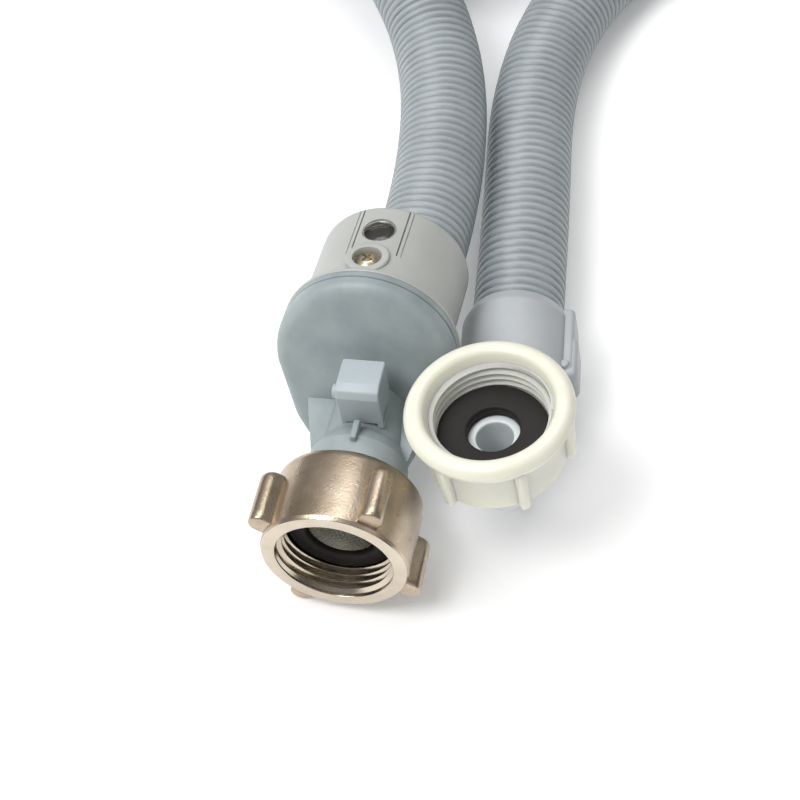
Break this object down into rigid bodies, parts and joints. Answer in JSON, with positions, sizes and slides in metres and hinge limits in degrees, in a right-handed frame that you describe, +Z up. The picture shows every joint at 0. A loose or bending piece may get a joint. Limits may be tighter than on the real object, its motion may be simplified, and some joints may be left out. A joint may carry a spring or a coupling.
{
  "type": "water supply hose with leak-stop valve",
  "caption": "Appliance water hose: tap nut, leak-stop valve with sight window, corrugated outer sheath, and a right-angle elbow with its own nut.",
  "frame": {"origin": "on the floor, under the middle of the tap end (nut and leak-stop valve)", "axes": "+Z up; +Y from the tap nut's mouth back along the valve; +X to the elbow's side"},
  "size_m": [0.2398, 0.442, 0.0518],
  "materials": {
    "nickel": "bright nickel plate on brass",
    "cover_plastic": "satin moulded plastic",
    "casing_plastic": "satin moulded plastic",
    "lever_plastic": "satin moulded plastic",
    "internal_plastic": "moulded plastic",
    "washer_rubber": "moulded rubber",
    "dark_plastic": "moulded plastic",
    "hose_rubber": "smooth rubber hose",
    "stainless": "stainless steel",
    "zinc_screw": "yellow zinc plate",
    "sight_lens": "smoky clear plastic",
    "flag_red": "red plastic",
    "tablet": "pressed swelling material",
    "cuff_plastic": "satin moulded plastic",
    "elbow_plastic": "moulded plastic",
    "white_plastic": "slightly translucent moulded nylon",
    "sheath_plastic": "corrugated polyethylene sheath"
  },
  "bodies": {
    "hose_set": {"inlet_tailpiece": "dark_plastic", "tailpiece_o_ring": "washer_rubber", "inlet_washer": "washer_rubber", "filter_rim": "internal_plastic", "filter_screen": "stainless", "front_cover": "cover_plastic", "lever_pin": "stainless", "lever_spring": "stainless", "rear_casing": "casing_plastic", "sight_window": "sight_lens", "casing_screw": "zinc_screw", "valve_body": "internal_plastic", "closing_spring": "stainless", "tablet_holder": "internal_plastic", "swelling_tablet": "tablet", "inner_hose_valve_end": "hose_rubber", "valve_end_ferrule": "stainless", "elbow_body": "elbow_plastic", "elbow_cuff": "cuff_plastic", "inner_hose_elbow_end": "hose_rubber", "elbow_end_ferrule": "stainless", "outlet_washer": "washer_rubber", "hose_valve_run": "sheath_plastic", "hose_outlet_run": "sheath_plastic", "hose_coil": "sheath_plastic"},
    "inlet_coupling": {"inlet_nut": "nickel"},
    "lever": {"lock_lever": "lever_plastic"},
    "outlet_coupling": {"outlet_nut": "white_plastic"},
    "shutoff": {"poppet": "internal_plastic", "poppet_seal": "washer_rubber"},
    "trigger": {"trigger_pin": "internal_plastic"},
    "flag": {"indicator_flag": "flag_red"}
  },
  "joints": [
    {"name": "inlet_nut_spin", "type": "hinge", "parent": "hose_set", "child": "inlet_coupling", "pos_m": [0.0016, -0.0303, 0.01884], "axis": [0, 1, 0], "continuous": true},
    {"name": "outlet_nut_spin", "type": "hinge", "parent": "hose_set", "child": "outlet_coupling", "pos_m": [0.03102, -0.01177, 0.03494], "axis": [-0.1538, -0.017, 0.988], "continuous": true},
    {"name": "lock_lever_pivot", "type": "hinge", "parent": "hose_set", "child": "lever", "pos_m": [-0.00032, -0.0063, 0.03472], "axis": [0.9928, 0, 0.1201], "range_deg": [-6, 0], "stiffness_Nm_per_rad": 0.02, "springref_deg": 14.32, "deforming": ["lever_spring"]},
    {"name": "trigger_slide", "type": "slide", "parent": "hose_set", "child": "trigger", "axis": [0.0161, 0.991, -0.133], "range_m": [0, 0.0025]},
    {"name": "poppet_slide", "type": "slide", "parent": "hose_set", "child": "shutoff", "axis": [0.0161, 0.991, -0.133], "range_m": [0, 0.0025], "deforming": ["closing_spring"]},
    {"name": "flag_slide", "type": "slide", "parent": "hose_set", "child": "flag", "axis": [0.0161, 0.991, -0.133], "range_m": [0, 0.009]}
  ],
  "couplings": [
    {"joint": "poppet_slide", "follows": "trigger_slide", "ratio": 1},
    {"joint": "flag_slide", "follows": "trigger_slide", "ratio": 3.6}
  ]
}
